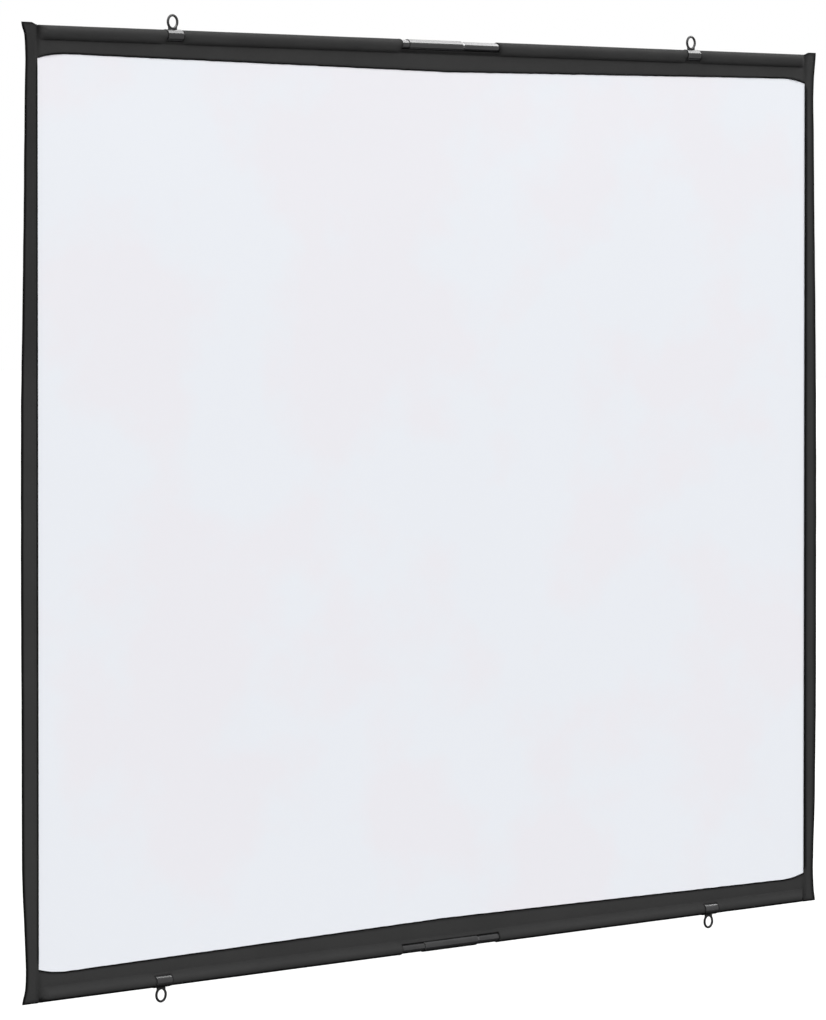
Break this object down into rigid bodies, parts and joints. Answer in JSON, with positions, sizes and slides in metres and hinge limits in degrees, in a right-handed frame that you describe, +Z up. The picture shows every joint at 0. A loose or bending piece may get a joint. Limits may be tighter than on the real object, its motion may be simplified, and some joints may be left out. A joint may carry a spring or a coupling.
{
  "type": "wall-mounted projection screen",
  "caption": "Hang-up projection screen: matte white sheet edged in black cloth, on plug-together steel bars in sewn pockets, with wire eyes on turning collars.",
  "frame": {"origin": "at the middle of the screen, on the line through the centres of the two top eyes, where the wall hooks go", "axes": "+X to the right seen from the front, +Y into the wall, +Z up; the front faces -Y"},
  "size_m": [1.5184, 0.0152, 1.2107],
  "materials": {
    "white_sheet": "matte",
    "black_cloth": "matte",
    "bar_steel": "satin",
    "collar_steel": "satin",
    "eye_steel": "satin",
    "plug_plastic": "matte"
  },
  "bodies": {
    "screen": {"screen_sheet": "white_sheet", "side_hem_left": "black_cloth", "side_hem_right": "black_cloth", "top_pocket": "black_cloth", "bottom_pocket": "black_cloth", "top_bar_left": "bar_steel", "top_bar_right": "bar_steel", "top_plug_left": "plug_plastic", "top_plug_right": "plug_plastic", "bottom_bar_left": "bar_steel", "bottom_bar_right": "bar_steel", "bottom_plug_left": "plug_plastic", "bottom_plug_right": "plug_plastic"},
    "top_hanger_left": {"top_collar_left": "collar_steel", "top_eye_left": "eye_steel"},
    "top_hanger_right": {"top_collar_right": "collar_steel", "top_eye_right": "eye_steel"},
    "bottom_hanger_left": {"bottom_collar_left": "collar_steel", "bottom_eye_left": "eye_steel"},
    "bottom_hanger_right": {"bottom_collar_right": "collar_steel", "bottom_eye_right": "eye_steel"}
  },
  "joints": [
    {"name": "top_hanger_left_turn", "type": "hinge", "parent": "screen", "child": "top_hanger_left", "pos_m": [-0.502, 0, -0.01683], "axis": [1, 0, 0], "range_deg": [-145, 145]},
    {"name": "top_hanger_right_turn", "type": "hinge", "parent": "screen", "child": "top_hanger_right", "pos_m": [0.4873, 0, -0.01683], "axis": [1, 0, 0], "range_deg": [-145, 145]},
    {"name": "bottom_hanger_left_turn", "type": "hinge", "parent": "screen", "child": "bottom_hanger_left", "pos_m": [-0.5236, 0, -1.17463], "axis": [1, 0, 0], "range_deg": [-145, 145]},
    {"name": "bottom_hanger_right_turn", "type": "hinge", "parent": "screen", "child": "bottom_hanger_right", "pos_m": [0.5262, 0, -1.17463], "axis": [1, 0, 0], "range_deg": [-145, 145]}
  ]
}
